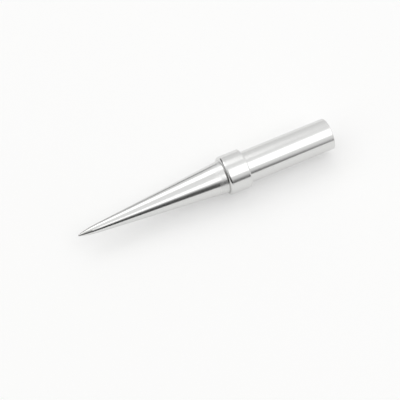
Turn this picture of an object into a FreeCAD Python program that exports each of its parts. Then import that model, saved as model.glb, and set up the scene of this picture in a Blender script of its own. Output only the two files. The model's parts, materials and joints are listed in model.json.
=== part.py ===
# Soldering iron tip: a slip-on tip with a long conical working end, turned from one bar of
# copper, iron plated and bright chrome finished. It is a single piece of metal.
#
# The frame: the origin is the centre of the bore's mouth, +X runs along the axis to the working
# point, and +Z is up with the tip lying level. Lengths are in millimetres.

import FreeCAD, Part
import math
import os
import Sketcher

NODE = "soldering_tip"

# The driving dimensions: alias, value and what it measures.
SIZES = [
    ("shank_diameter", 6.5, "outside of the hollow shank"),
    ("shank_length", 18.6, "from the mouth to the back of the collar"),
    ("collar_length", 4.6, "from the collar's back to its front"),
    ("back_shoulder", 0.75, "how far the collar stands out from the shank"),
    ("front_shoulder", 0.67, "how far the collar stands out from the cone"),
    ("cone_length", 31.0, "from the collar's front to the point"),
    ("nose_diameter", 1.93, "where the straight cone ends and the nose starts to round in"),
    ("nose_length", 4.4, "the rounded-in nose, up to the point"),
    ("point_radius", 0.2, "the ball at the very point"),
    ("bore_diameter", 4.2, "the bore that slides over the heater"),
    ("bore_depth", 19.2, "full diameter of the bore, from the mouth"),
    ("drill_angle", 118.0, "cone left by the drill at the bore's end, in degrees"),
    ("cone_fillet", 0.1, "inside corner between the cone and the collar's front"),
    ("front_land", 0.09, "flat left on the collar's front between that corner and the round edge"),
    ("back_round", 0.25, "back edge of the collar"),
    ("shank_round", 0.2, "outer edge of the shank's end"),
    ("mouth_chamfer", 0.15, "lead-in at the bore's mouth"),
]


def add_sheet(doc):
    """The spreadsheet that holds every driving dimension under its alias."""
    sheet = doc.addObject("Spreadsheet::Sheet", "sizes")
    for row, (alias, value, note) in enumerate(SIZES, start=1):
        sheet.set(f"A{row}", alias)
        sheet.set(f"B{row}", str(value))
        sheet.set(f"C{row}", note)
        sheet.setAlias(f"B{row}", alias)
    doc.recompute()
    return sheet


def origin_plane(body, role):
    """One of the body's own origin planes, found by its role."""
    return next(feature for feature in body.Origin.OriginFeatures if feature.Role == role)


def add_sketch(body, name, role):
    """An empty sketch on one of the body's origin planes."""
    sketch = body.newObject("Sketcher::SketchObject", name)
    sketch.AttachmentSupport = (origin_plane(body, role), [""])
    sketch.MapMode = "FlatFace"
    return sketch


def bind(sketch, name, constraint, formula):
    """A named dimension of a sketch whose value follows the sheet."""
    index = sketch.addConstraint(constraint)
    sketch.renameConstraint(index, name)
    sketch.setExpression(f"Constraints.{name}", formula)


def outline_sketch(body, sheet):
    """Half the turned outline, from the mouth along the shank, collar and cone to the point."""
    shank = sheet.shank_diameter / 2
    collar = shank + sheet.back_shoulder
    cone = collar - sheet.front_shoulder
    nose = sheet.nose_diameter / 2
    ball = sheet.point_radius
    collar_back = sheet.shank_length
    collar_front = collar_back + sheet.collar_length
    tip = collar_front + sheet.cone_length
    nose_start = tip - sheet.nose_length

    # The nose is one arc that leaves the cone without a step and meets the ball at the point.
    slope = math.atan2(cone - nose, nose_start - collar_front)
    inward = FreeCAD.Vector(-math.sin(slope), -math.cos(slope), 0)
    start = FreeCAD.Vector(nose_start, nose, 0)
    ball_centre = FreeCAD.Vector(tip - ball, 0, 0)
    gap = start - ball_centre
    nose_radius = (ball ** 2 - gap.dot(gap)) / (2 * (gap.dot(inward) + ball))
    centre = start + inward * nose_radius
    meet = ball_centre + (ball_centre - centre).normalize() * ball
    start_angle = math.atan2(start.y - centre.y, start.x - centre.x)
    meet_angle = math.atan2(meet.y - centre.y, meet.x - centre.x)
    ball_angle = math.atan2(meet.y, meet.x - ball_centre.x)

    sketch = add_sketch(body, "outline", "XY_Plane")
    corners = [(0, 0), (0, shank), (collar_back, shank), (collar_back, collar),
               (collar_front, collar), (collar_front, cone), (nose_start, nose)]
    points = [FreeCAD.Vector(x, radius, 0) for x, radius in corners]
    lines = [sketch.addGeometry(Part.LineSegment(a, b), False) for a, b in zip(points, points[1:])]
    normal = FreeCAD.Vector(0, 0, 1)
    nose_circle = Part.Circle(centre, normal, nose_radius)
    nose_arc = sketch.addGeometry(Part.ArcOfCircle(nose_circle, meet_angle, start_angle), False)
    ball_circle = Part.Circle(ball_centre, normal, ball)
    ball_arc = sketch.addGeometry(Part.ArcOfCircle(ball_circle, 0, ball_angle), False)
    axis = sketch.addGeometry(Part.LineSegment(FreeCAD.Vector(tip, 0, 0), points[0]), False)
    mouth, shank_side, collar_back_face, collar_side, collar_front_face, cone_side = lines

    # Point 1 of a curve is its start, 2 its end and 3 its centre.
    add = sketch.addConstraint
    add(Sketcher.Constraint("Coincident", mouth, 1, -1, 1))
    for before, after in zip(lines, lines[1:]):
        add(Sketcher.Constraint("Coincident", before, 2, after, 1))
    add(Sketcher.Constraint("Coincident", axis, 2, mouth, 1))
    add(Sketcher.Constraint("Coincident", ball_arc, 1, axis, 1))
    for upright in (mouth, collar_back_face, collar_front_face):
        add(Sketcher.Constraint("Vertical", upright))
    for level in (shank_side, collar_side, axis):
        add(Sketcher.Constraint("Horizontal", level))
    add(Sketcher.Constraint("Tangent", cone_side, 2, nose_arc, 2))
    add(Sketcher.Constraint("Tangent", nose_arc, 1, ball_arc, 2))
    add(Sketcher.Constraint("PointOnObject", ball_arc, 3, -1))

    def height(curve, point):
        return Sketcher.Constraint("DistanceY", -1, 1, curve, point, 1.0)

    def length(curve, point):
        return Sketcher.Constraint("DistanceX", -1, 1, curve, point, 1.0)

    front_place = "sizes.shank_length + sizes.collar_length"
    collar_radius = "sizes.shank_diameter / 2 + sizes.back_shoulder"
    cone_radius = f"{collar_radius} - sizes.front_shoulder"
    tip_place = f"{front_place} + sizes.cone_length"
    bind(sketch, "shank_radius", height(mouth, 2), "sizes.shank_diameter / 2")
    bind(sketch, "collar_back", length(shank_side, 2), "sizes.shank_length")
    bind(sketch, "collar_radius", height(collar_back_face, 2), collar_radius)
    bind(sketch, "collar_front", length(collar_side, 2), front_place)
    bind(sketch, "cone_radius", height(collar_front_face, 2), cone_radius)
    bind(sketch, "nose_start", length(cone_side, 2), f"{tip_place} - sizes.nose_length")
    bind(sketch, "nose_radius", height(cone_side, 2), "sizes.nose_diameter / 2")
    bind(sketch, "tip", length(axis, 1), tip_place)
    bind(sketch, "point_radius", Sketcher.Constraint("Radius", ball_arc, ball), "sizes.point_radius")
    return sketch


def turned_blank(body, outline):
    """The outline turned about the axis."""
    blank = body.newObject("PartDesign::Revolution", "blank")
    blank.Profile = (outline, [""])
    blank.ReferenceAxis = (outline, ["H_Axis"])
    blank.Angle = 360
    body.Document.recompute()
    return blank


def heater_bore(body):
    """The blind bore in the shank, drilled from the mouth and left with the drill's own cone."""
    sketch = add_sketch(body, "bore_circle", "YZ_Plane")
    normal = FreeCAD.Vector(0, 0, 1)
    circle = sketch.addGeometry(Part.Circle(FreeCAD.Vector(0, 0, 0), normal, 1), False)
    sketch.addConstraint(Sketcher.Constraint("Coincident", circle, 3, -1, 1))
    bind(sketch, "diameter", Sketcher.Constraint("Diameter", circle, 2.0), "sizes.bore_diameter")
    body.Document.recompute()
    hole = body.newObject("PartDesign::Hole", "heater_bore")
    hole.Profile = (sketch, [""])
    body.Document.recompute()
    hole.Reversed = True
    hole.DepthType = "Dimension"
    hole.DrillPoint = "Angled"
    hole.DrillForDepth = False
    hole.setExpression("Diameter", "sizes.bore_diameter")
    hole.setExpression("Depth", "sizes.bore_depth")
    hole.setExpression("DrillPointAngle", "sizes.drill_angle")
    body.Document.recompute()
    return hole


def ring_edge(feature, place, radius):
    """The name of the circular edge of a feature at a place along the axis."""
    for number, edge in enumerate(feature.Shape.Edges, start=1):
        curve = edge.Curve
        if not isinstance(curve, Part.Circle):
            continue
        if abs(curve.Center.x - place) < 0.001 and abs(curve.Radius - radius) < 0.001:
            return f"Edge{number}"
    raise RuntimeError(f"{feature.Name} has no edge of radius {radius} at {place}")


def dress(body, kind, name, place, radius, formula):
    """A fillet or chamfer on one circular edge, with its size worked out from the sheet."""
    base = body.Tip
    feature = body.newObject(f"PartDesign::{kind}", name)
    feature.Base = (base, [ring_edge(base, place, radius)])
    feature.setExpression("Radius" if kind == "Fillet" else "Size", formula)
    body.Document.recompute()
    return feature


def soldering_tip(doc, sheet):
    """The whole tip as one body."""
    body = doc.addObject("PartDesign::Body", NODE)
    body.Label = NODE
    outline = outline_sketch(body, sheet)
    blank = turned_blank(body, outline)
    volume = blank.Shape.Volume
    bored = heater_bore(body)
    if bored.Shape.Volume >= volume:
        raise RuntimeError("the bore removes nothing")

    shank = sheet.shank_diameter / 2
    collar = shank + sheet.back_shoulder
    cone = collar - sheet.front_shoulder
    collar_back = sheet.shank_length
    collar_front = collar_back + sheet.collar_length
    dress(body, "Fillet", "cone_root", collar_front, cone, "sizes.cone_fillet")
    front_round = "sizes.front_shoulder - sizes.cone_fillet - sizes.front_land"
    dress(body, "Fillet", "collar_front_edge", collar_front, collar, front_round)
    dress(body, "Fillet", "collar_back_edge", collar_back, collar, "sizes.back_round")
    dress(body, "Fillet", "shank_end_edge", 0, shank, "sizes.shank_round")
    dress(body, "Chamfer", "mouth_edge", 0, sheet.bore_diameter / 2, "sizes.mouth_chamfer")
    body.Placement = FreeCAD.Placement()
    return body


def check(doc, body):
    """Stops on any failed feature and on a shape that isn't one valid solid."""
    doc.recompute()
    for feature in doc.Objects:
        if "Invalid" in feature.State or "Error" in feature.State:
            raise RuntimeError(f"{feature.Name} failed: {feature.State}")
    shape = body.Shape
    if shape.isNull() or not shape.isValid() or len(shape.Solids) != 1:
        raise RuntimeError(f"{body.Label} is not one valid solid")


def main():
    doc = FreeCAD.newDocument("SolderingTip")
    sheet = add_sheet(doc)
    body = soldering_tip(doc, sheet)
    check(doc, body)
    os.makedirs("parts", exist_ok=True)
    body.Shape.exportStep(f"parts/{body.Label}.step")
    centre = body.Shape.CenterOfGravity
    print(f"{body.Label}: {body.Shape.Volume:.2f} mm3, centre of mass at x = {centre.x:.2f}")


main()
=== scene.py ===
import json
import math

import bmesh
import bpy
from bpy.props import FloatProperty, FloatVectorProperty, IntProperty, PointerProperty
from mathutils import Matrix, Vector


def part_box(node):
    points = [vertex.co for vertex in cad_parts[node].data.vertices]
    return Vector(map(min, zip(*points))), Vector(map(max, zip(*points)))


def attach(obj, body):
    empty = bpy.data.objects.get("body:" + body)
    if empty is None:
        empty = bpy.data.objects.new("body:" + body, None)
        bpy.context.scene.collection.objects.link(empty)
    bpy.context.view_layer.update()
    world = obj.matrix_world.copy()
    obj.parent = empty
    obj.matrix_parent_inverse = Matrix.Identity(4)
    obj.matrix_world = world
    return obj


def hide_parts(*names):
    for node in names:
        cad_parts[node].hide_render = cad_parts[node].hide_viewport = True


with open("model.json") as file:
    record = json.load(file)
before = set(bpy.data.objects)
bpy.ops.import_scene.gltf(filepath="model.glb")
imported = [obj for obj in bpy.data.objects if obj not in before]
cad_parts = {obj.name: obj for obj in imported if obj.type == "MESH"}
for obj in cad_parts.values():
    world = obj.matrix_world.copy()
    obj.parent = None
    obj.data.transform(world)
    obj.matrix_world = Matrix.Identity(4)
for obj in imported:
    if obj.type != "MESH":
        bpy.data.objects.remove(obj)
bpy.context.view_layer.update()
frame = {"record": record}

bl_info = {
    "name": "Soldering Iron Tip",
    "version": (1, 0, 0),
    "blender": (4, 5, 0),
    "location": "3D View > Sidebar > Soldering Tip",
    "description": "A slip-on conical soldering tip built on its CAD frame, and the stage it lies on",
    "category": "Add Mesh",
}

# The CAD model's own box, kept before any piece of the scene is made.
NODE = "soldering_tip"
MM = 0.001


def mount(name):
    """One of the record's mounts, by its name."""
    return next(m for m in frame["record"]["mounts"] if m["name"] == name)


def linear(code):
    """The linear colour of an sRGB hex value such as D8D8D6."""
    channels = [int(code[i:i + 2], 16) / 255 for i in (0, 2, 4)]
    return tuple(c / 12.92 if c <= 0.04045 else ((c + 0.055) / 1.055) ** 2.4 for c in channels)


LOW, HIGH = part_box(NODE)
BORE = mount("heater_bore")["dims"]
SHANK = mount("shank")["dims"]
MOUTH_CHAMFER = 0.15 * MM
# The solder coat thins out over twice this length.
TIN_EDGE = 0.12 * MM

# The soft lights: name, place to the right of the collar and beyond it as the camera sees it,
# width and depth, all in metres, then radiance and turn in degrees.
LAMP_HEIGHT = 1.0
LAMPS = (
    ("right_soft_light", 0.62, -0.18, (0.74, 1.46), 0.74, -8),
    ("left_soft_light", -0.70, 0.66, (1.32, 0.92), 0.85, 19),
)


def length_property(name, description, default):
    """A length in metres for the panel."""
    return FloatProperty(name=name, description=description, default=default, min=0.0,
                         precision=5, subtype="DISTANCE", unit="LENGTH")


def colour_property(name, description, code):
    """A colour for the panel, from its sRGB hex value."""
    return FloatVectorProperty(name=name, description=description, default=linear(code), size=3,
                               min=0.0, max=1.0, subtype="COLOR")


def share_property(name, description, default):
    """A number from 0 to 1 for the panel."""
    return FloatProperty(name=name, description=description, default=default, min=0.0, max=1.0,
                         precision=3, subtype="FACTOR")


class TipSizes(bpy.types.PropertyGroup):
    """Sizes of the turned tip; those that the frame gives are read from it"""

    point: length_property("Point", "Distance from the bore's mouth to the working point", HIGH.x)
    shank_radius: length_property(
        "Shank Radius", "Outside radius of the hollow shank", SHANK["r_mm"] * MM)
    shank_round: length_property("Shank Round", "Rounded outer edge of the shank's end", 0.2 * MM)
    bore_radius: length_property(
        "Bore Radius", "Radius of the bore that slides over the heater", BORE["r_mm"] * MM)
    bore_depth: length_property(
        "Bore Depth", "Full diameter of the bore, measured from its mouth",
        BORE["length_mm"] * MM + MOUTH_CHAMFER)
    drill_angle: FloatProperty(
        name="Drill Angle", description="Cone that the drill leaves at the end of the bore",
        default=math.radians(118), subtype="ANGLE", unit="ROTATION")
    mouth_chamfer: length_property("Mouth Chamfer", "Lead-in at the bore's mouth", MOUTH_CHAMFER)
    collar_back: length_property(
        "Collar Back", "Place of the collar's rear face", mount("collar_back")["pos_m"][0])
    collar_front: length_property(
        "Collar Front", "Place of the collar's front face", mount("collar_front")["pos_m"][0])
    collar_radius: length_property(
        "Collar Radius", "Outside radius of the collar, the widest part of the CAD box",
        min(-LOW.y, HIGH.y, -LOW.z, HIGH.z))
    back_round: length_property("Back Round", "Rounded rear edge of the collar", 0.25 * MM)
    front_round: length_property("Front Round", "Rounded front edge of the collar", 0.48 * MM)
    cone_radius: length_property(
        "Cone Radius", "Radius of the cone where it leaves the collar", 3.33 * MM)
    cone_fillet: length_property(
        "Cone Fillet", "Inside corner between the cone and the collar", 0.1 * MM)
    nose_radius: length_property(
        "Nose Radius", "Radius where the straight cone ends and the nose rounds in", 0.965 * MM)
    nose_length: length_property("Nose Length", "The rounded-in nose, up to the point", 4.4 * MM)
    point_radius: length_property("Point Radius", "The ball at the very point", 0.2 * MM)
    broken_edge: length_property(
        "Broken Edge", "The small round that plating gives every other corner", 0.04 * MM)
    segments: IntProperty(
        name="Segments", description="Faces round the turned body", default=192, min=24, max=512)


class TipFinish(bpy.types.PropertyGroup):
    """Finishes of the tip"""

    plating_colour: colour_property("Plating", "Bright plating on the whole outside", "DEDEDD")
    plating_roughness: share_property("Plating Roughness", "Gloss of the plating", 0.17)
    # Painted shade: a dark plating colour for the corner in front of the collar, where the recess
    # falls into shadow.
    corner_shade_colour: colour_property(
        "Corner", "Plating that polishing leaves dark in the corner before the collar", "807F7C")
    corner_shade_reach: length_property(
        "Corner Reach", "How far the dark corner spreads", 0.28 * MM)
    turning_pitch: length_property(
        "Turning Pitch", "Spacing of the turning lines under the plating", 0.11 * MM)
    satin_length: length_property(
        "Satin Length", "How far the satin zone reaches along the cone", 3.2 * MM)
    satin_roughness: share_property(
        "Satin Roughness", "Roughness that the satin zone adds beside the collar", 0.22)
    tin_colour: colour_property("Tinning", "Solder coat on the working end", "DCDCDA")
    tin_roughness: share_property("Tinning Roughness", "Gloss of the solder coat", 0.17)
    tin_length: length_property("Tinned Length", "How far the solder coat reaches back", 3.0 * MM)
    tin_wander: length_property("Tin Wander", "How unevenly the solder coat ends", 0.45 * MM)
    tin_build_up: share_property("Tin Build-up", "Solder's share of the radius it covers", 0.02)
    bore_colour: colour_property("Bore", "Drilled copper under a dull flash of plating", "A8A6A2")


class StageSettings(bpy.types.PropertyGroup):
    """The plain stage: floor, soft lights and camera"""

    floor_colour: colour_property("Floor", "Pale matt board", "FEFEFD")
    floor_size: length_property("Floor Size", "Width of the board", 4.0)
    floor_white: share_property(
        "Floor White", "Share of pure white that the eye sees mixed into the board", 0.32)
    low_level: share_property("Low Level", "Radiance of the studio near the horizon", 0.84)
    high_level: share_property("High Level", "Radiance of the studio overhead", 0.95)
    dusk_level: share_property("Dusk Level", "Radiance of what stands unlit round the studio", 0.07)
    azimuth: FloatProperty(
        name="Azimuth", description="Turn of the camera round the object",
        default=math.radians(154.477), subtype="ANGLE", unit="ROTATION")
    elevation: FloatProperty(
        name="Elevation", description="Height of the camera above the horizon",
        default=math.radians(59.428), subtype="ANGLE", unit="ROTATION")
    distance: length_property("Distance", "From the camera to the point it looks at", 0.3436)
    lens: FloatProperty(
        name="Lens", description="Focal length in millimetres on a 36 mm sensor", default=157.9,
        unit="CAMERA")
    middle_left: length_property(
        "Middle Left", "How far left of the tip's middle the picture's middle lies", 1.012 * MM)
    middle_down: length_property(
        "Middle Down", "How far below the tip's middle the picture's middle lies", 3.163 * MM)


def add_node(tree, kind, inputs=None, **settings):
    """Adds a node with its settings; an input is given a value, or a socket to link from."""
    node = tree.nodes.new(kind)
    for name, value in settings.items():
        setattr(node, name, value)
    for name, value in (inputs or {}).items():
        if isinstance(value, bpy.types.NodeSocket):
            tree.links.new(value, node.inputs[name])
        else:
            node.inputs[name].default_value = value
    return node


def arc(centre, radius, start, end, step=math.radians(7.5)):
    """Points on an arc from one angle to another, both ends included."""
    count = max(2, math.ceil(abs(end - start) / step))
    angles = [start + (end - start) * i / count for i in range(count + 1)]
    return [centre + Vector((math.cos(a), math.sin(a))) * radius for a in angles]


def run(start, end, step, support):
    """Points inside a straight run: evenly spaced, and one close to each end, which keeps the
    shading of a rounded corner from spreading along the run."""
    length = (end - start).length
    count = max(1, math.ceil(length / step))
    shares = {i / count for i in range(1, count)}
    if length > 4 * support:
        shares |= {support / length, 1 - support / length}
    return [start.lerp(end, share) for share in sorted(shares)]


def rounded(corners, step, support):
    """Points along straight runs whose corners are rounded. A corner is x, radius from the axis
    and the radius of its round."""
    places = [Vector(corner[:2]) for corner in corners]
    points = [places[0]]
    for i in range(1, len(corners) - 1):
        place, size = places[i], corners[i][2]
        back = (places[i - 1] - place).normalized()
        ahead = (places[i + 1] - place).normalized()
        half = back.angle(ahead) / 2
        centre = place + (back + ahead).normalized() * (size / math.sin(half))
        first = place + back * (size / math.tan(half)) - centre
        last = place + ahead * (size / math.tan(half)) - centre
        start = math.atan2(first.y, first.x)
        turn = math.remainder(math.atan2(last.y, last.x) - start, math.tau)
        bend = arc(centre, size, start, start + turn)
        points += run(points[-1], bend[0], step, support) + bend
    return points + run(points[-1], places[-1], step, support) + [places[-1]]


def outline(sizes):
    """Half the tip's section: out of the bore, round the shank's end, along the shank, the collar
    and the cone, and over the nose to the point."""
    depth = sizes.bore_depth
    drill = sizes.bore_radius / math.tan(sizes.drill_angle / 2)
    edge = sizes.broken_edge
    nose_start = sizes.point - sizes.nose_length
    points = rounded([
        (depth + drill, 0.0, 0.0),
        (depth, sizes.bore_radius, edge),
        (sizes.mouth_chamfer, sizes.bore_radius, edge),
        (0.0, sizes.bore_radius + sizes.mouth_chamfer, edge),
        (0.0, sizes.shank_radius, sizes.shank_round),
        (sizes.collar_back, sizes.shank_radius, edge),
        (sizes.collar_back, sizes.collar_radius, sizes.back_round),
        (sizes.collar_front, sizes.collar_radius, sizes.front_round),
        (sizes.collar_front, sizes.cone_radius, sizes.cone_fillet),
        (nose_start, sizes.nose_radius, 0.0),
    ], step=0.6 * MM, support=0.02 * MM)

    # The nose is one arc that leaves the cone without a step and meets the ball at the point.
    start = points.pop()
    slope = math.atan2(sizes.cone_radius - sizes.nose_radius, nose_start - sizes.collar_front)
    inward = Vector((-math.sin(slope), -math.cos(slope)))
    ball = sizes.point_radius
    ball_centre = Vector((sizes.point - ball, 0.0))
    gap = start - ball_centre
    nose_arc = (ball ** 2 - gap.dot(gap)) / (2 * (gap.dot(inward) + ball))
    centre = start + inward * nose_arc
    meet = ball_centre - centre
    nose = arc(centre, nose_arc, math.atan2(-inward.y, -inward.x), math.atan2(meet.y, meet.x),
               step=math.radians(0.4))
    tip = arc(ball_centre, ball, math.atan2(meet.y, meet.x), 0.0)
    points += nose[:-1] + tip
    points[-1] = Vector((sizes.point, 0.0))
    return points


def lathe_tree():
    """Geometry nodes that turn an outline about the X axis, build up the solder on the working
    end and give each zone its finish."""
    tree = bpy.data.node_groups.new("turned_tip", "GeometryNodeTree")
    sockets = [
        ("Outline", "NodeSocketGeometry"),
        ("Segments", "NodeSocketInt"),
        ("Tinned From", "NodeSocketFloat"),
        ("Tin Wander", "NodeSocketFloat"),
        ("Wander Size", "NodeSocketFloat"),
        ("Tin Build-up", "NodeSocketFloat"),
        ("Seed", "NodeSocketFloat"),
        ("Plating", "NodeSocketMaterial"),
        ("Tinning", "NodeSocketMaterial"),
        ("Bore", "NodeSocketMaterial"),
    ]
    for name, kind in sockets:
        tree.interface.new_socket(name, in_out="INPUT", socket_type=kind)
    tree.interface.new_socket("Tip", in_out="OUTPUT", socket_type="NodeSocketGeometry")
    given = add_node(tree, "NodeGroupInput").outputs

    # A grid with one row of vertices for each point of the outline, bent round the axis.
    size = add_node(tree, "GeometryNodeAttributeDomainSize", {"Geometry": given["Outline"]})
    columns = add_node(tree, "ShaderNodeMath", {0: given["Segments"], 1: 1.0}, operation="ADD")
    grid = add_node(tree, "GeometryNodeMeshGrid", {
        "Vertices X": size.outputs["Point Count"], "Vertices Y": columns.outputs[0]})
    index = add_node(tree, "GeometryNodeInputIndex").outputs[0]
    quotient = add_node(tree, "ShaderNodeMath", {0: index, 1: columns.outputs[0]},
                        operation="DIVIDE")
    row = add_node(tree, "ShaderNodeMath", {0: quotient.outputs[0]}, operation="FLOOR")
    column = add_node(tree, "ShaderNodeMath", {0: index, 1: columns.outputs[0]},
                      operation="MODULO")
    position = add_node(tree, "GeometryNodeInputPosition").outputs[0]
    sample = add_node(tree, "GeometryNodeSampleIndex", data_type="FLOAT_VECTOR", domain="POINT")
    tree.links.new(given["Outline"], sample.inputs["Geometry"])
    tree.links.new(position, sample.inputs["Value"])
    tree.links.new(row.outputs[0], sample.inputs["Index"])
    section = add_node(tree, "ShaderNodeSeparateXYZ", {0: sample.outputs[0]})
    share = add_node(tree, "ShaderNodeMath", {0: column.outputs[0], 1: given["Segments"]},
                     operation="DIVIDE")
    angle = add_node(tree, "ShaderNodeMath", {0: share.outputs[0], 1: -math.tau},
                     operation="MULTIPLY")
    turned = add_node(tree, "ShaderNodeVectorRotate", {
        "Vector": sample.outputs[0], "Axis": (1.0, 0.0, 0.0), "Angle": angle.outputs[0]},
        rotation_type="AXIS_ANGLE")
    body = add_node(tree, "GeometryNodeSetPosition", {
        "Geometry": grid.outputs["Mesh"], "Position": turned.outputs[0]})
    closed = add_node(tree, "GeometryNodeMergeByDistance", {
        "Geometry": body.outputs[0], "Distance": 0.0001 * MM})

    # The solder ends in an uneven line and stands a little proud of the plating.
    scale = add_node(tree, "ShaderNodeMath", {0: 1.0, 1: given["Wander Size"]},
                     operation="DIVIDE")
    noise = add_node(tree, "ShaderNodeTexNoise", {
        "W": given["Seed"], "Scale": scale.outputs[0], "Detail": 1.0}, noise_dimensions="4D")
    centred = add_node(tree, "ShaderNodeMath", {0: noise.outputs[0], 1: 0.5},
                       operation="SUBTRACT")
    wander = add_node(tree, "ShaderNodeMath", {0: centred.outputs[0], 1: given["Tin Wander"]},
                      operation="MULTIPLY")
    along = add_node(tree, "ShaderNodeSeparateXYZ", {0: position}).outputs[0]
    past = add_node(tree, "ShaderNodeMath", {0: along, 1: given["Tinned From"]},
                    operation="SUBTRACT")
    reach = add_node(tree, "ShaderNodeMath", {0: past.outputs[0], 1: wander.outputs[0]},
                     operation="ADD")
    coated = add_node(tree, "ShaderNodeMapRange", {
        "Value": reach.outputs[0], "From Min": -TIN_EDGE, "From Max": TIN_EDGE},
        interpolation_type="SMOOTHSTEP")
    growth = add_node(tree, "ShaderNodeMath", {
        0: coated.outputs[0], 1: given["Tin Build-up"], 2: 1.0}, operation="MULTIPLY_ADD")
    stretch = add_node(tree, "ShaderNodeCombineXYZ", {
        "X": 1.0, "Y": growth.outputs[0], "Z": growth.outputs[0]})
    swollen = add_node(tree, "ShaderNodeVectorMath", {0: position, 1: stretch.outputs[0]},
                       operation="MULTIPLY")
    built = add_node(tree, "GeometryNodeSetPosition", {
        "Geometry": closed.outputs[0], "Position": swollen.outputs[0]})
    smooth = add_node(tree, "GeometryNodeSetShadeSmooth", {
        "Geometry": built.outputs[0], "Shade Smooth": True}, domain="FACE")

    # The bore is every face that looks towards the axis.
    radial = add_node(tree, "ShaderNodeVectorMath", {0: position, 1: (0.0, 1.0, 1.0)},
                      operation="MULTIPLY")
    outward = add_node(tree, "ShaderNodeVectorMath", {0: radial.outputs[0]},
                       operation="NORMALIZE")
    normal = add_node(tree, "GeometryNodeInputNormal").outputs[0]
    facing = add_node(tree, "ShaderNodeVectorMath", {0: outward.outputs[0], 1: normal},
                      operation="DOT_PRODUCT")
    inside = add_node(tree, "ShaderNodeMath", {0: facing.outputs["Value"], 1: -0.02},
                      operation="LESS_THAN")
    tinned = add_node(tree, "ShaderNodeMath", {0: reach.outputs[0], 1: 0.0},
                      operation="GREATER_THAN")
    real = add_node(tree, "GeometryNodeRealizeInstances", {"Geometry": smooth.outputs[0]})
    plated = add_node(tree, "GeometryNodeSetMaterial", {
        "Geometry": real.outputs[0], "Material": given["Plating"]})
    tipped = add_node(tree, "GeometryNodeSetMaterial", {
        "Geometry": plated.outputs[0], "Selection": tinned.outputs[0],
        "Material": given["Tinning"]})
    drilled = add_node(tree, "GeometryNodeSetMaterial", {
        "Geometry": tipped.outputs[0], "Selection": inside.outputs[0],
        "Material": given["Bore"]})
    add_node(tree, "NodeGroupOutput", {0: drilled.outputs[0]})
    return tree


def made_plain(piece):
    """Swaps an object's mesh for its evaluated one and drops its modifiers."""
    graph = bpy.context.evaluated_depsgraph_get()
    mesh = bpy.data.meshes.new_from_object(piece.evaluated_get(graph), depsgraph=graph)
    piece.modifiers.clear()
    piece.data = mesh
    return mesh


def check_closed(mesh):
    """Stops if a mesh is open anywhere or its faces point inwards."""
    shape = bmesh.new()
    shape.from_mesh(mesh)
    whole = all(edge.is_manifold for edge in shape.edges)
    volume = shape.calc_volume(signed=True)
    shape.free()
    if not whole or volume <= 0:
        raise RuntimeError(f"{mesh.name}: closed {whole}, volume {volume}")


def new_material(name):
    """An empty node material and its surface shader, which feeds the output."""
    material = bpy.data.materials.new(name)
    material.use_nodes = True
    tree = material.node_tree
    tree.nodes.clear()
    shader = add_node(tree, "ShaderNodeBsdfPrincipled")
    add_node(tree, "ShaderNodeOutputMaterial", {"Surface": shader.outputs[0]})
    return material, tree, shader


def turning_lines(tree, pitch):
    """Height of the rings that the turning tool leaves. They run round the axis, so they follow x
    less the radius, which changes along every face of the outline. Real ones are too fine to
    show, so they are drawn a little coarser."""
    place = add_node(tree, "ShaderNodeTexCoord").outputs["Object"]
    parts = add_node(tree, "ShaderNodeSeparateXYZ", {0: place}).outputs
    flat = add_node(tree, "ShaderNodeCombineXYZ", {"Y": parts["Y"], "Z": parts["Z"]})
    radius = add_node(tree, "ShaderNodeVectorMath", {0: flat.outputs[0]}, operation="LENGTH")
    travel = add_node(tree, "ShaderNodeMath", {0: parts["X"], 1: radius.outputs["Value"]},
                      operation="SUBTRACT")
    rings = add_node(tree, "ShaderNodeTexNoise", {
        "W": travel.outputs[0], "Scale": 1 / pitch, "Detail": 3.0, "Roughness": 0.6},
        noise_dimensions="1D")
    return rings.outputs[0], place, parts, radius.outputs["Value"]


def painted_corner_shade(tree, parts, past, aside, reach):
    """How much painted shade lies at a place. It lines the corner in front of the collar as a
    dark colour where the recess falls into shadow, and is heaviest on one side of the upper half."""
    offset = add_node(tree, "ShaderNodeCombineXYZ", {"X": past, "Y": aside})
    distance = add_node(tree, "ShaderNodeVectorMath", {0: offset.outputs[0]}, operation="LENGTH")
    corner = add_node(tree, "ShaderNodeMapRange", {
        "Value": distance.outputs["Value"], "From Min": reach / 2, "From Max": reach,
        "To Min": 1.0, "To Max": 0.0}, interpolation_type="SMOOTHSTEP")
    upper = add_node(tree, "ShaderNodeMapRange", {
        "Value": parts["Z"], "From Min": 1.2 * MM, "From Max": 2.5 * MM, "To Min": 0.35},
        interpolation_type="SMOOTHSTEP")
    side = add_node(tree, "ShaderNodeMapRange", {
        "Value": parts["Y"], "From Min": 0.0, "From Max": 1.4 * MM, "To Min": 0.1},
        interpolation_type="SMOOTHSTEP")
    uneven = add_node(tree, "ShaderNodeMath", {0: upper.outputs[0], 1: side.outputs[0]},
                      operation="MULTIPLY")
    painted_shade = add_node(tree, "ShaderNodeMath", {0: corner.outputs[0], 1: uneven.outputs[0]},
                     operation="MULTIPLY")
    return painted_shade.outputs[0]


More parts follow.
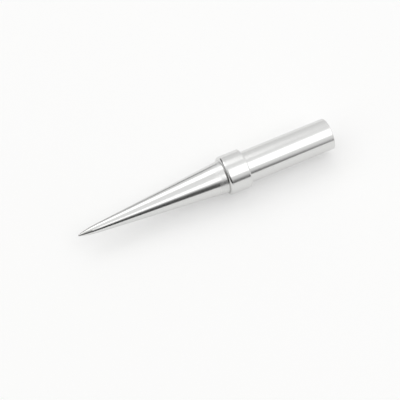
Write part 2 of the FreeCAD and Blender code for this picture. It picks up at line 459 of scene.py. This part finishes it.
def satin_zone(tree, place, past, length, roughness):
    """Roughness that patchy polishing adds to the cone beside the collar."""
    clouds = add_node(tree, "ShaderNodeTexNoise", {
        "Vector": place, "Scale": 1 / (1.5 * MM), "Detail": 1.0})
    patch = add_node(tree, "ShaderNodeMapRange", {
        "Value": clouds.outputs[0], "From Min": 0.42, "From Max": 0.64, "To Min": 0.4},
        interpolation_type="SMOOTHSTEP")
    fading = add_node(tree, "ShaderNodeMapRange", {
        "Value": past, "From Min": length, "From Max": 0.2 * MM, "To Min": 0.0,
        "To Max": roughness}, interpolation_type="SMOOTHSTEP")
    on_cone = add_node(tree, "ShaderNodeMath", {0: past, 1: 0.0}, operation="GREATER_THAN")
    zone = add_node(tree, "ShaderNodeMath", {0: fading.outputs[0], 1: on_cone.outputs[0]},
                    operation="MULTIPLY")
    satin = add_node(tree, "ShaderNodeMath", {0: patch.outputs[0], 1: zone.outputs[0]},
                     operation="MULTIPLY")
    return satin.outputs[0]


def bright_plating(finish, sizes):
    """Bright plating over turned copper: a mirror with a faint grain of turning rings, which
    smears its reflections a little along the axis, with painted shade as a dark line in the corner
    in front of the collar and a satin zone beside it."""
    material, tree, shader = new_material("bright_plating_over_turned_copper")
    shader.inputs["Metallic"].default_value = 1.0
    rings, place, parts, radius = turning_lines(tree, finish.turning_pitch)
    past = add_node(tree, "ShaderNodeMath", {0: parts["X"], 1: sizes.collar_front},
                    operation="SUBTRACT").outputs[0]
    aside = add_node(tree, "ShaderNodeMath", {0: radius, 1: sizes.cone_radius},
                     operation="SUBTRACT").outputs[0]
    # Painted shade darkens the base colour in the corner in front of the collar, heaviest on one side
    # of the upper half.
    painted_shade = painted_corner_shade(tree, parts, past, aside, finish.corner_shade_reach)
    colour = add_node(tree, "ShaderNodeMix", {"Factor": painted_shade}, data_type="RGBA")
    colour.inputs["A"].default_value = (*finish.plating_colour, 1.0)
    colour.inputs["B"].default_value = (*finish.corner_shade_colour, 1.0)
    grain = add_node(tree, "ShaderNodeMapRange", {
        "Value": rings, "From Min": 0.3, "From Max": 0.7,
        "To Min": finish.plating_roughness - 0.02, "To Max": finish.plating_roughness + 0.04})
    satin = satin_zone(tree, place, past, finish.satin_length, finish.satin_roughness)
    rough = add_node(tree, "ShaderNodeMath", {0: grain.outputs[0], 1: satin}, operation="ADD")
    bump = add_node(tree, "ShaderNodeBump", {
        "Height": rings, "Strength": 0.2, "Distance": 0.001 * MM})
    tree.links.new(colour.outputs["Result"], shader.inputs["Base Color"])
    tree.links.new(rough.outputs[0], shader.inputs["Roughness"])
    tree.links.new(bump.outputs[0], shader.inputs["Normal"])
    return material


def solder_tinning(finish):
    """A thin coat of solder wiped on hot: nearly as bright as the plating, with slow waves where
    it ran and a fine frost where it froze."""
    material, tree, shader = new_material("wiped_solder_tinning")
    shader.inputs["Base Color"].default_value = (*finish.tin_colour, 1.0)
    shader.inputs["Metallic"].default_value = 1.0
    place = add_node(tree, "ShaderNodeTexCoord").outputs["Object"]
    waves = add_node(tree, "ShaderNodeTexNoise", {
        "Vector": place, "Scale": 1 / (0.6 * MM), "Detail": 2.0})
    frost = add_node(tree, "ShaderNodeTexNoise", {
        "Vector": place, "Scale": 1 / (0.07 * MM), "Detail": 2.0})
    height = add_node(tree, "ShaderNodeMath", {
        0: frost.outputs[0], 1: 0.08, 2: waves.outputs[0]}, operation="MULTIPLY_ADD")
    rough = add_node(tree, "ShaderNodeMapRange", {
        "Value": frost.outputs[0], "From Min": 0.3, "From Max": 0.7,
        "To Min": finish.tin_roughness - 0.05, "To Max": finish.tin_roughness + 0.05})
    bump = add_node(tree, "ShaderNodeBump", {
        "Height": height.outputs[0], "Strength": 0.2, "Distance": 0.03 * MM})
    tree.links.new(rough.outputs[0], shader.inputs["Roughness"])
    tree.links.new(bump.outputs[0], shader.inputs["Normal"])
    return material


def drilled_bore(finish):
    """The drilled bore, where plating hardly reaches: dull, with the drill's rings."""
    material, tree, shader = new_material("drilled_bore_with_thin_plating")
    shader.inputs["Base Color"].default_value = (*finish.bore_colour, 1.0)
    shader.inputs["Metallic"].default_value = 1.0
    rings = turning_lines(tree, 0.16 * MM)[0]
    rough = add_node(tree, "ShaderNodeMapRange", {
        "Value": rings, "From Min": 0.3, "From Max": 0.7, "To Min": 0.32, "To Max": 0.46})
    bump = add_node(tree, "ShaderNodeBump", {
        "Height": rings, "Strength": 0.4, "Distance": 0.012 * MM})
    tree.links.new(rough.outputs[0], shader.inputs["Roughness"])
    tree.links.new(bump.outputs[0], shader.inputs["Normal"])
    return material


class TIP_OT_turn_tip(bpy.types.Operator):
    """Turn the soldering tip from its outline and give it its finishes"""

    bl_idname = "tip.turn_tip"
    bl_label = "Turn Tip"

    def execute(self, context):
        sizes = context.scene.tip_sizes
        finish = context.scene.tip_finish
        points = outline(sizes)
        mesh = bpy.data.meshes.new("tip_outline")
        edges = [(i, i + 1) for i in range(len(points) - 1)]
        mesh.from_pydata([(p.x, 0.0, p.y) for p in points], edges, [])
        tip = bpy.data.objects.new("turned_tip", mesh)
        context.scene.collection.objects.link(tip)

        tree = lathe_tree()
        values = {
            "Segments": sizes.segments,
            "Tinned From": sizes.point - finish.tin_length,
            "Tin Wander": finish.tin_wander,
            "Wander Size": 0.7 * MM,
            "Tin Build-up": finish.tin_build_up,
            "Seed": 3.0,
            "Plating": bright_plating(finish, sizes),
            "Tinning": solder_tinning(finish),
            "Bore": drilled_bore(finish),
        }
        lathe = tip.modifiers.new("lathe", "NODES")
        lathe.node_group = tree
        for socket in tree.interface.items_tree:
            if socket.in_out == "INPUT" and socket.name in values:
                lathe[socket.identifier] = values[socket.name]
        check_closed(made_plain(tip))
        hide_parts(NODE)
        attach(tip, "root")
        return {"FINISHED"}


def matt_board(stage):
    """A pale matt board, which takes the soft shadow. To the eye and in the metal a share of it
    is pure white, which lifts the ground to the white of a product picture."""
    material, tree, shader = new_material("pale_matt_board")
    shader.inputs["Base Color"].default_value = (*stage.floor_colour, 1.0)
    shader.inputs["Roughness"].default_value = 0.9
    shader.inputs["Specular IOR Level"].default_value = 0.1
    path = add_node(tree, "ShaderNodeLightPath").outputs
    mirrored = add_node(tree, "ShaderNodeMath", {
        0: path["Is Camera Ray"], 1: path["Is Glossy Ray"]}, operation="MAXIMUM")
    seen = add_node(tree, "ShaderNodeMath", {
        0: mirrored.outputs[0], 1: path["Is Transmission Ray"]}, operation="MAXIMUM")
    share = add_node(tree, "ShaderNodeMath", {0: seen.outputs[0], 1: stage.floor_white},
                     operation="MULTIPLY")
    white = add_node(tree, "ShaderNodeEmission", {"Strength": 1.0})
    whitened = add_node(tree, "ShaderNodeMixShader", {
        0: share.outputs[0], 1: shader.outputs[0], 2: white.outputs[0]})
    tree.links.new(whitened.outputs[0], tree.nodes["Material Output"].inputs["Surface"])
    return material


def unlit_room(tree, height, toward, across):
    """How much shows of the unlit room behind the camera, which is wide near the horizon and
    narrower higher up. It gives bright metal its dark band."""
    taper = add_node(tree, "ShaderNodeMath", {0: height, 1: 0.55, 2: 0.25},
                     operation="MULTIPLY_ADD")
    off_middle = add_node(tree, "ShaderNodeMath", {0: across}, operation="ABSOLUTE")
    spread = add_node(tree, "ShaderNodeMath", {
        0: height, 1: taper.outputs[0], 2: off_middle.outputs[0]}, operation="MULTIPLY_ADD")
    narrow = add_node(tree, "ShaderNodeMapRange", {
        "Value": spread.outputs[0], "From Min": 0.80, "From Max": 0.66},
        interpolation_type="SMOOTHSTEP")
    behind = add_node(tree, "ShaderNodeMapRange", {
        "Value": toward, "From Min": 0.0, "From Max": 0.2}, interpolation_type="SMOOTHSTEP")
    below = add_node(tree, "ShaderNodeMapRange", {
        "Value": height, "From Min": 0.75, "From Max": 0.5}, interpolation_type="SMOOTHSTEP")
    wedge = add_node(tree, "ShaderNodeMath", {0: narrow.outputs[0], 1: behind.outputs[0]},
                     operation="MULTIPLY")
    room = add_node(tree, "ShaderNodeMath", {0: wedge.outputs[0], 1: below.outputs[0]},
                    operation="MULTIPLY")
    return room.outputs[0]


def far_gap(tree, way, height, centre):
    """How much shows of the unlit gap low beyond the far left corner of the board. It gives the
    upper edge of the cone its grey line."""
    facing = add_node(tree, "ShaderNodeVectorMath", {0: way, 1: centre}, operation="DOT_PRODUCT")
    round_it = add_node(tree, "ShaderNodeMapRange", {
        "Value": facing.outputs["Value"], "From Min": 0.87, "From Max": 0.95},
        interpolation_type="SMOOTHSTEP")
    low = add_node(tree, "ShaderNodeMapRange", {
        "Value": height, "From Min": 0.30, "From Max": 0.16}, interpolation_type="SMOOTHSTEP")
    gap = add_node(tree, "ShaderNodeMath", {0: round_it.outputs[0], 1: low.outputs[0]},
                   operation="MULTIPLY")
    return gap.outputs[0]


def camera_and_wall(tree, forward, height, toward):
    """How much shows of the camera on its column and of the low wall that the tip points at.
    They darken the nose and the collar's front edge."""
    slant = add_node(tree, "ShaderNodeMath", {0: forward, 1: 0.35, 2: height},
                     operation="MULTIPLY_ADD")
    wall = add_node(tree, "ShaderNodeMapRange", {
        "Value": slant.outputs[0], "From Min": 0.72, "From Max": 0.54},
        interpolation_type="SMOOTHSTEP")
    tall = add_node(tree, "ShaderNodeMapRange", {
        "Value": height, "From Min": 0.95, "From Max": 0.85}, interpolation_type="SMOOTHSTEP")
    near = add_node(tree, "ShaderNodeMapRange", {
        "Value": toward, "From Min": 0.15, "From Max": 0.35}, interpolation_type="SMOOTHSTEP")
    inner = add_node(tree, "ShaderNodeMapRange", {
        "Value": forward, "From Min": 0.62, "From Max": 0.48, "To Max": 0.8},
        interpolation_type="SMOOTHSTEP")
    post = add_node(tree, "ShaderNodeMath", {0: tall.outputs[0], 1: near.outputs[0]},
                    operation="MULTIPLY")
    column = add_node(tree, "ShaderNodeMath", {0: post.outputs[0], 1: inner.outputs[0]},
                      operation="MULTIPLY")
    both = add_node(tree, "ShaderNodeMath", {0: wall.outputs[0], 1: column.outputs[0]},
                    operation="MAXIMUM")
    ahead = add_node(tree, "ShaderNodeMapRange", {
        "Value": forward, "From Min": 0.06, "From Max": 0.2}, interpolation_type="SMOOTHSTEP")
    shown = add_node(tree, "ShaderNodeMath", {0: both.outputs[0], 1: ahead.outputs[0]},
                     operation="MULTIPLY")
    return shown.outputs[0]


def studio_world(stage, right, away):
    """A pale studio, a little brighter overhead, with what stands round it unlit."""
    world = bpy.data.worlds.new("soft_studio")
    world.use_nodes = True
    tree = world.node_tree
    tree.nodes.clear()
    way = add_node(tree, "ShaderNodeTexCoord").outputs["Generated"]
    parts = add_node(tree, "ShaderNodeSeparateXYZ", {0: way}).outputs
    across = add_node(tree, "ShaderNodeVectorMath", {0: way, 1: right},
                      operation="DOT_PRODUCT").outputs["Value"]
    toward = add_node(tree, "ShaderNodeVectorMath", {0: way, 1: -away},
                      operation="DOT_PRODUCT").outputs["Value"]
    room = unlit_room(tree, parts["Z"], toward, across)
    gap = far_gap(tree, way, parts["Z"], away * 0.77 - right * 0.64)
    front = camera_and_wall(tree, parts["X"], parts["Z"], toward)
    sides = add_node(tree, "ShaderNodeMath", {0: room, 1: gap}, operation="MAXIMUM")
    dark = add_node(tree, "ShaderNodeMath", {0: sides.outputs[0], 1: front}, operation="MAXIMUM")
    pale = add_node(tree, "ShaderNodeMapRange", {
        "Value": parts["Z"], "From Min": 0.2, "From Max": 1.0, "To Min": stage.low_level,
        "To Max": stage.high_level})
    level = add_node(tree, "ShaderNodeMix", {
        0: dark.outputs[0], 2: pale.outputs[0], 3: stage.dusk_level})
    background = add_node(tree, "ShaderNodeBackground", {"Strength": level.outputs[0]})
    background.inputs["Color"].default_value = (1.0, 1.0, 1.0, 1.0)
    add_node(tree, "ShaderNodeOutputWorld", {"Surface": background.outputs[0]})
    return world


def soft_light(scene, name, place, size, level, turn):
    """A flat soft light that faces straight down, with its level given as radiance."""
    data = bpy.data.lights.new(name, "AREA")
    data.shape = "RECTANGLE"
    data.size, data.size_y = size
    data.energy = level * math.pi * size[0] * size[1]
    light = bpy.data.objects.new(name, data)
    light.location = place
    light.rotation_euler.z = turn
    light.visible_camera = False
    scene.collection.objects.link(light)


class TIP_OT_set_stage(bpy.types.Operator):
    """Lay the board under the tip and set the studio lights and the camera"""

    bl_idname = "tip.set_stage"
    bl_label = "Set Stage"

    def execute(self, context):
        scene = context.scene
        stage = scene.tip_stage
        sizes = scene.tip_sizes
        scene.view_settings.view_transform = "Standard"
        flat = math.cos(stage.elevation)
        back = Vector((math.sin(stage.azimuth) * flat, -math.cos(stage.azimuth) * flat,
                       math.sin(stage.elevation)))
        right = Vector((math.cos(stage.azimuth), math.sin(stage.azimuth), 0.0))
        up = back.cross(right)
        away = Vector((-right.y, right.x, 0.0))

        # The tip lies on its collar.
        half = stage.floor_size / 2
        drop = -sizes.collar_radius
        board = bpy.data.meshes.new("board")
        board.from_pydata([(-half, -half, drop), (half, -half, drop), (half, half, drop),
                           (-half, half, drop)], [], [(0, 1, 2, 3)])
        board.materials.append(matt_board(stage))
        floor = bpy.data.objects.new("board", board)
        scene.collection.objects.link(floor)

        # Two soft lights a metre up, to the camera's right and far left, with a gap between.
        for name, across, beyond, size, level, turn in LAMPS:
            place = Vector((sizes.collar_front, 0.0, LAMP_HEIGHT)) + right * across + away * beyond
            soft_light(scene, name, place, size, level, stage.azimuth + math.radians(turn))
        scene.world = studio_world(stage, right, away)

        data = bpy.data.cameras.new("camera")
        data.lens = stage.lens
        data.clip_start = 0.01
        camera = bpy.data.objects.new("camera", data)
        aim = Vector((sizes.point / 2, 0.0, 0.0)) - right * stage.middle_left
        aim -= up * stage.middle_down
        camera.location = aim + back * stage.distance
        camera.rotation_euler = back.to_track_quat("Z", "Y").to_euler()
        scene.collection.objects.link(camera)
        scene.camera = camera
        return {"FINISHED"}


class TIP_PT_panel(bpy.types.Panel):
    """Lists the steps and the values that they use"""

    bl_idname = "TIP_PT_panel"
    bl_label = "Soldering Tip"
    bl_space_type = "VIEW_3D"
    bl_region_type = "UI"
    bl_category = "Soldering Tip"

    def draw(self, context):
        layout = self.layout
        scene = context.scene
        layout.operator(TIP_OT_turn_tip.bl_idname)
        layout.operator(TIP_OT_set_stage.bl_idname)
        for group in (scene.tip_sizes, scene.tip_finish, scene.tip_stage):
            box = layout.box()
            for name in group.__annotations__:
                box.prop(group, name)


CLASSES = (TipSizes, TipFinish, StageSettings, TIP_OT_turn_tip, TIP_OT_set_stage, TIP_PT_panel)


def register():
    for item in CLASSES:
        bpy.utils.register_class(item)
    bpy.types.Scene.tip_sizes = PointerProperty(type=TipSizes)
    bpy.types.Scene.tip_finish = PointerProperty(type=TipFinish)
    bpy.types.Scene.tip_stage = PointerProperty(type=StageSettings)


def unregister():
    del bpy.types.Scene.tip_stage
    del bpy.types.Scene.tip_finish
    del bpy.types.Scene.tip_sizes
    for item in reversed(CLASSES):
        bpy.utils.unregister_class(item)


def main():
    register()
    bpy.ops.tip.turn_tip()
    bpy.ops.tip.set_stage()


if __name__ == "__main__":
    main()
